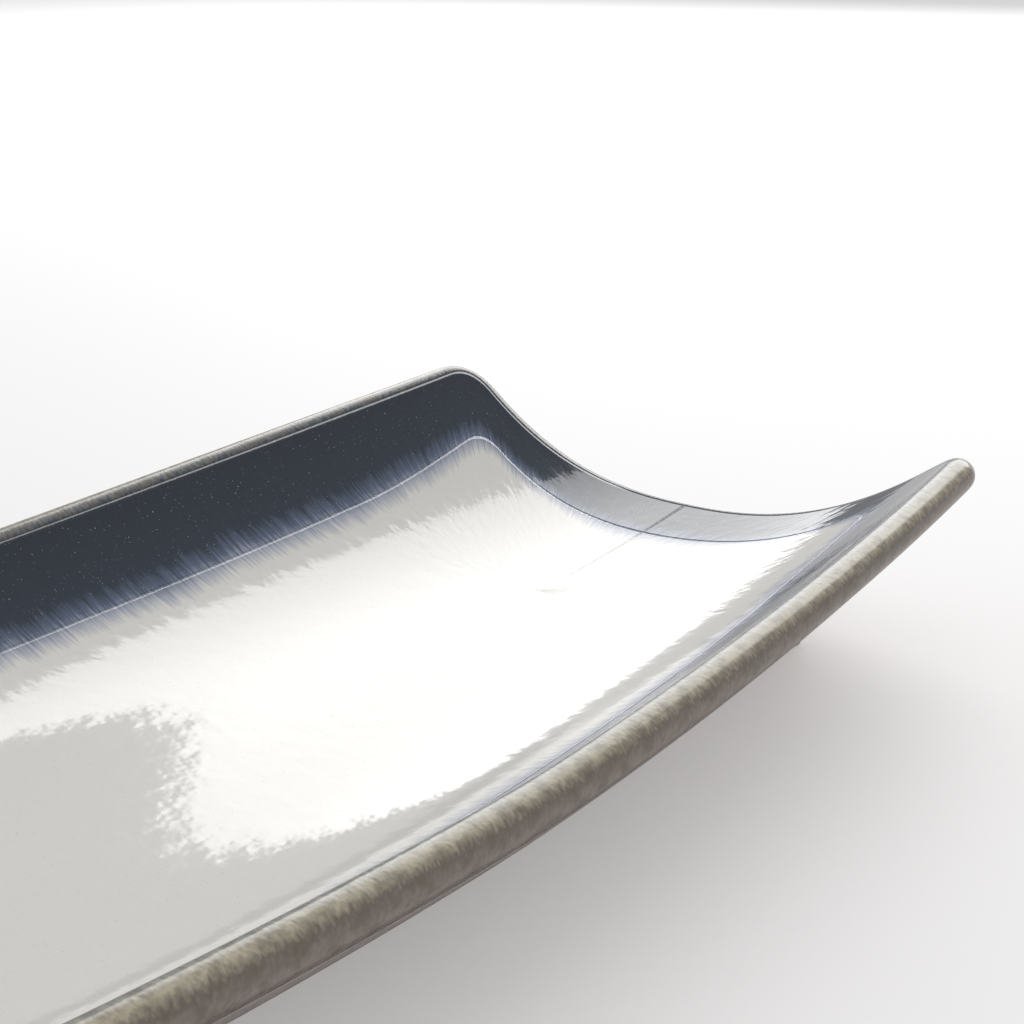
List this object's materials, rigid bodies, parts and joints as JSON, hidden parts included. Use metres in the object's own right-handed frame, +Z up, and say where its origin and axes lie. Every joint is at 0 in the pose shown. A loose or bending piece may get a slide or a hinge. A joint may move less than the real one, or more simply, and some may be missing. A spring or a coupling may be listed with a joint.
{
  "type": "rectangular plate",
  "caption": "Long rectangular stoneware plate with upswept corners, dipped ends, a dark blue glaze band round a white well and a low foot ring.",
  "frame": {"origin": "middle of the bounding box, on the plane the foot ring stands on", "axes": "+X along the plate's length, +Y across its width, +Z up out of the well"},
  "size_m": [0.3048, 0.142, 0.0366],
  "materials": {
    "stoneware_body": "unglazed matte stoneware",
    "foot_ring": "unglazed matte stoneware, wiped clean",
    "white_well_glaze": "glossy off-white glaze",
    "indigo_band_glaze": "glossy dark indigo glaze with fine streaks",
    "rim_edge_glaze": "glossy mottled grey-brown glaze",
    "underside_glaze": "satin grey-beige glaze",
    "foot_well_glaze": "satin grey-beige glaze"
  },
  "bodies": {
    "root": {"stoneware_body": "stoneware_body", "foot_ring": "foot_ring", "white_well_glaze": "white_well_glaze", "indigo_band_glaze": "indigo_band_glaze", "rim_edge_glaze": "rim_edge_glaze", "underside_glaze": "underside_glaze", "foot_well_glaze": "foot_well_glaze"}
  },
  "joints": []
}
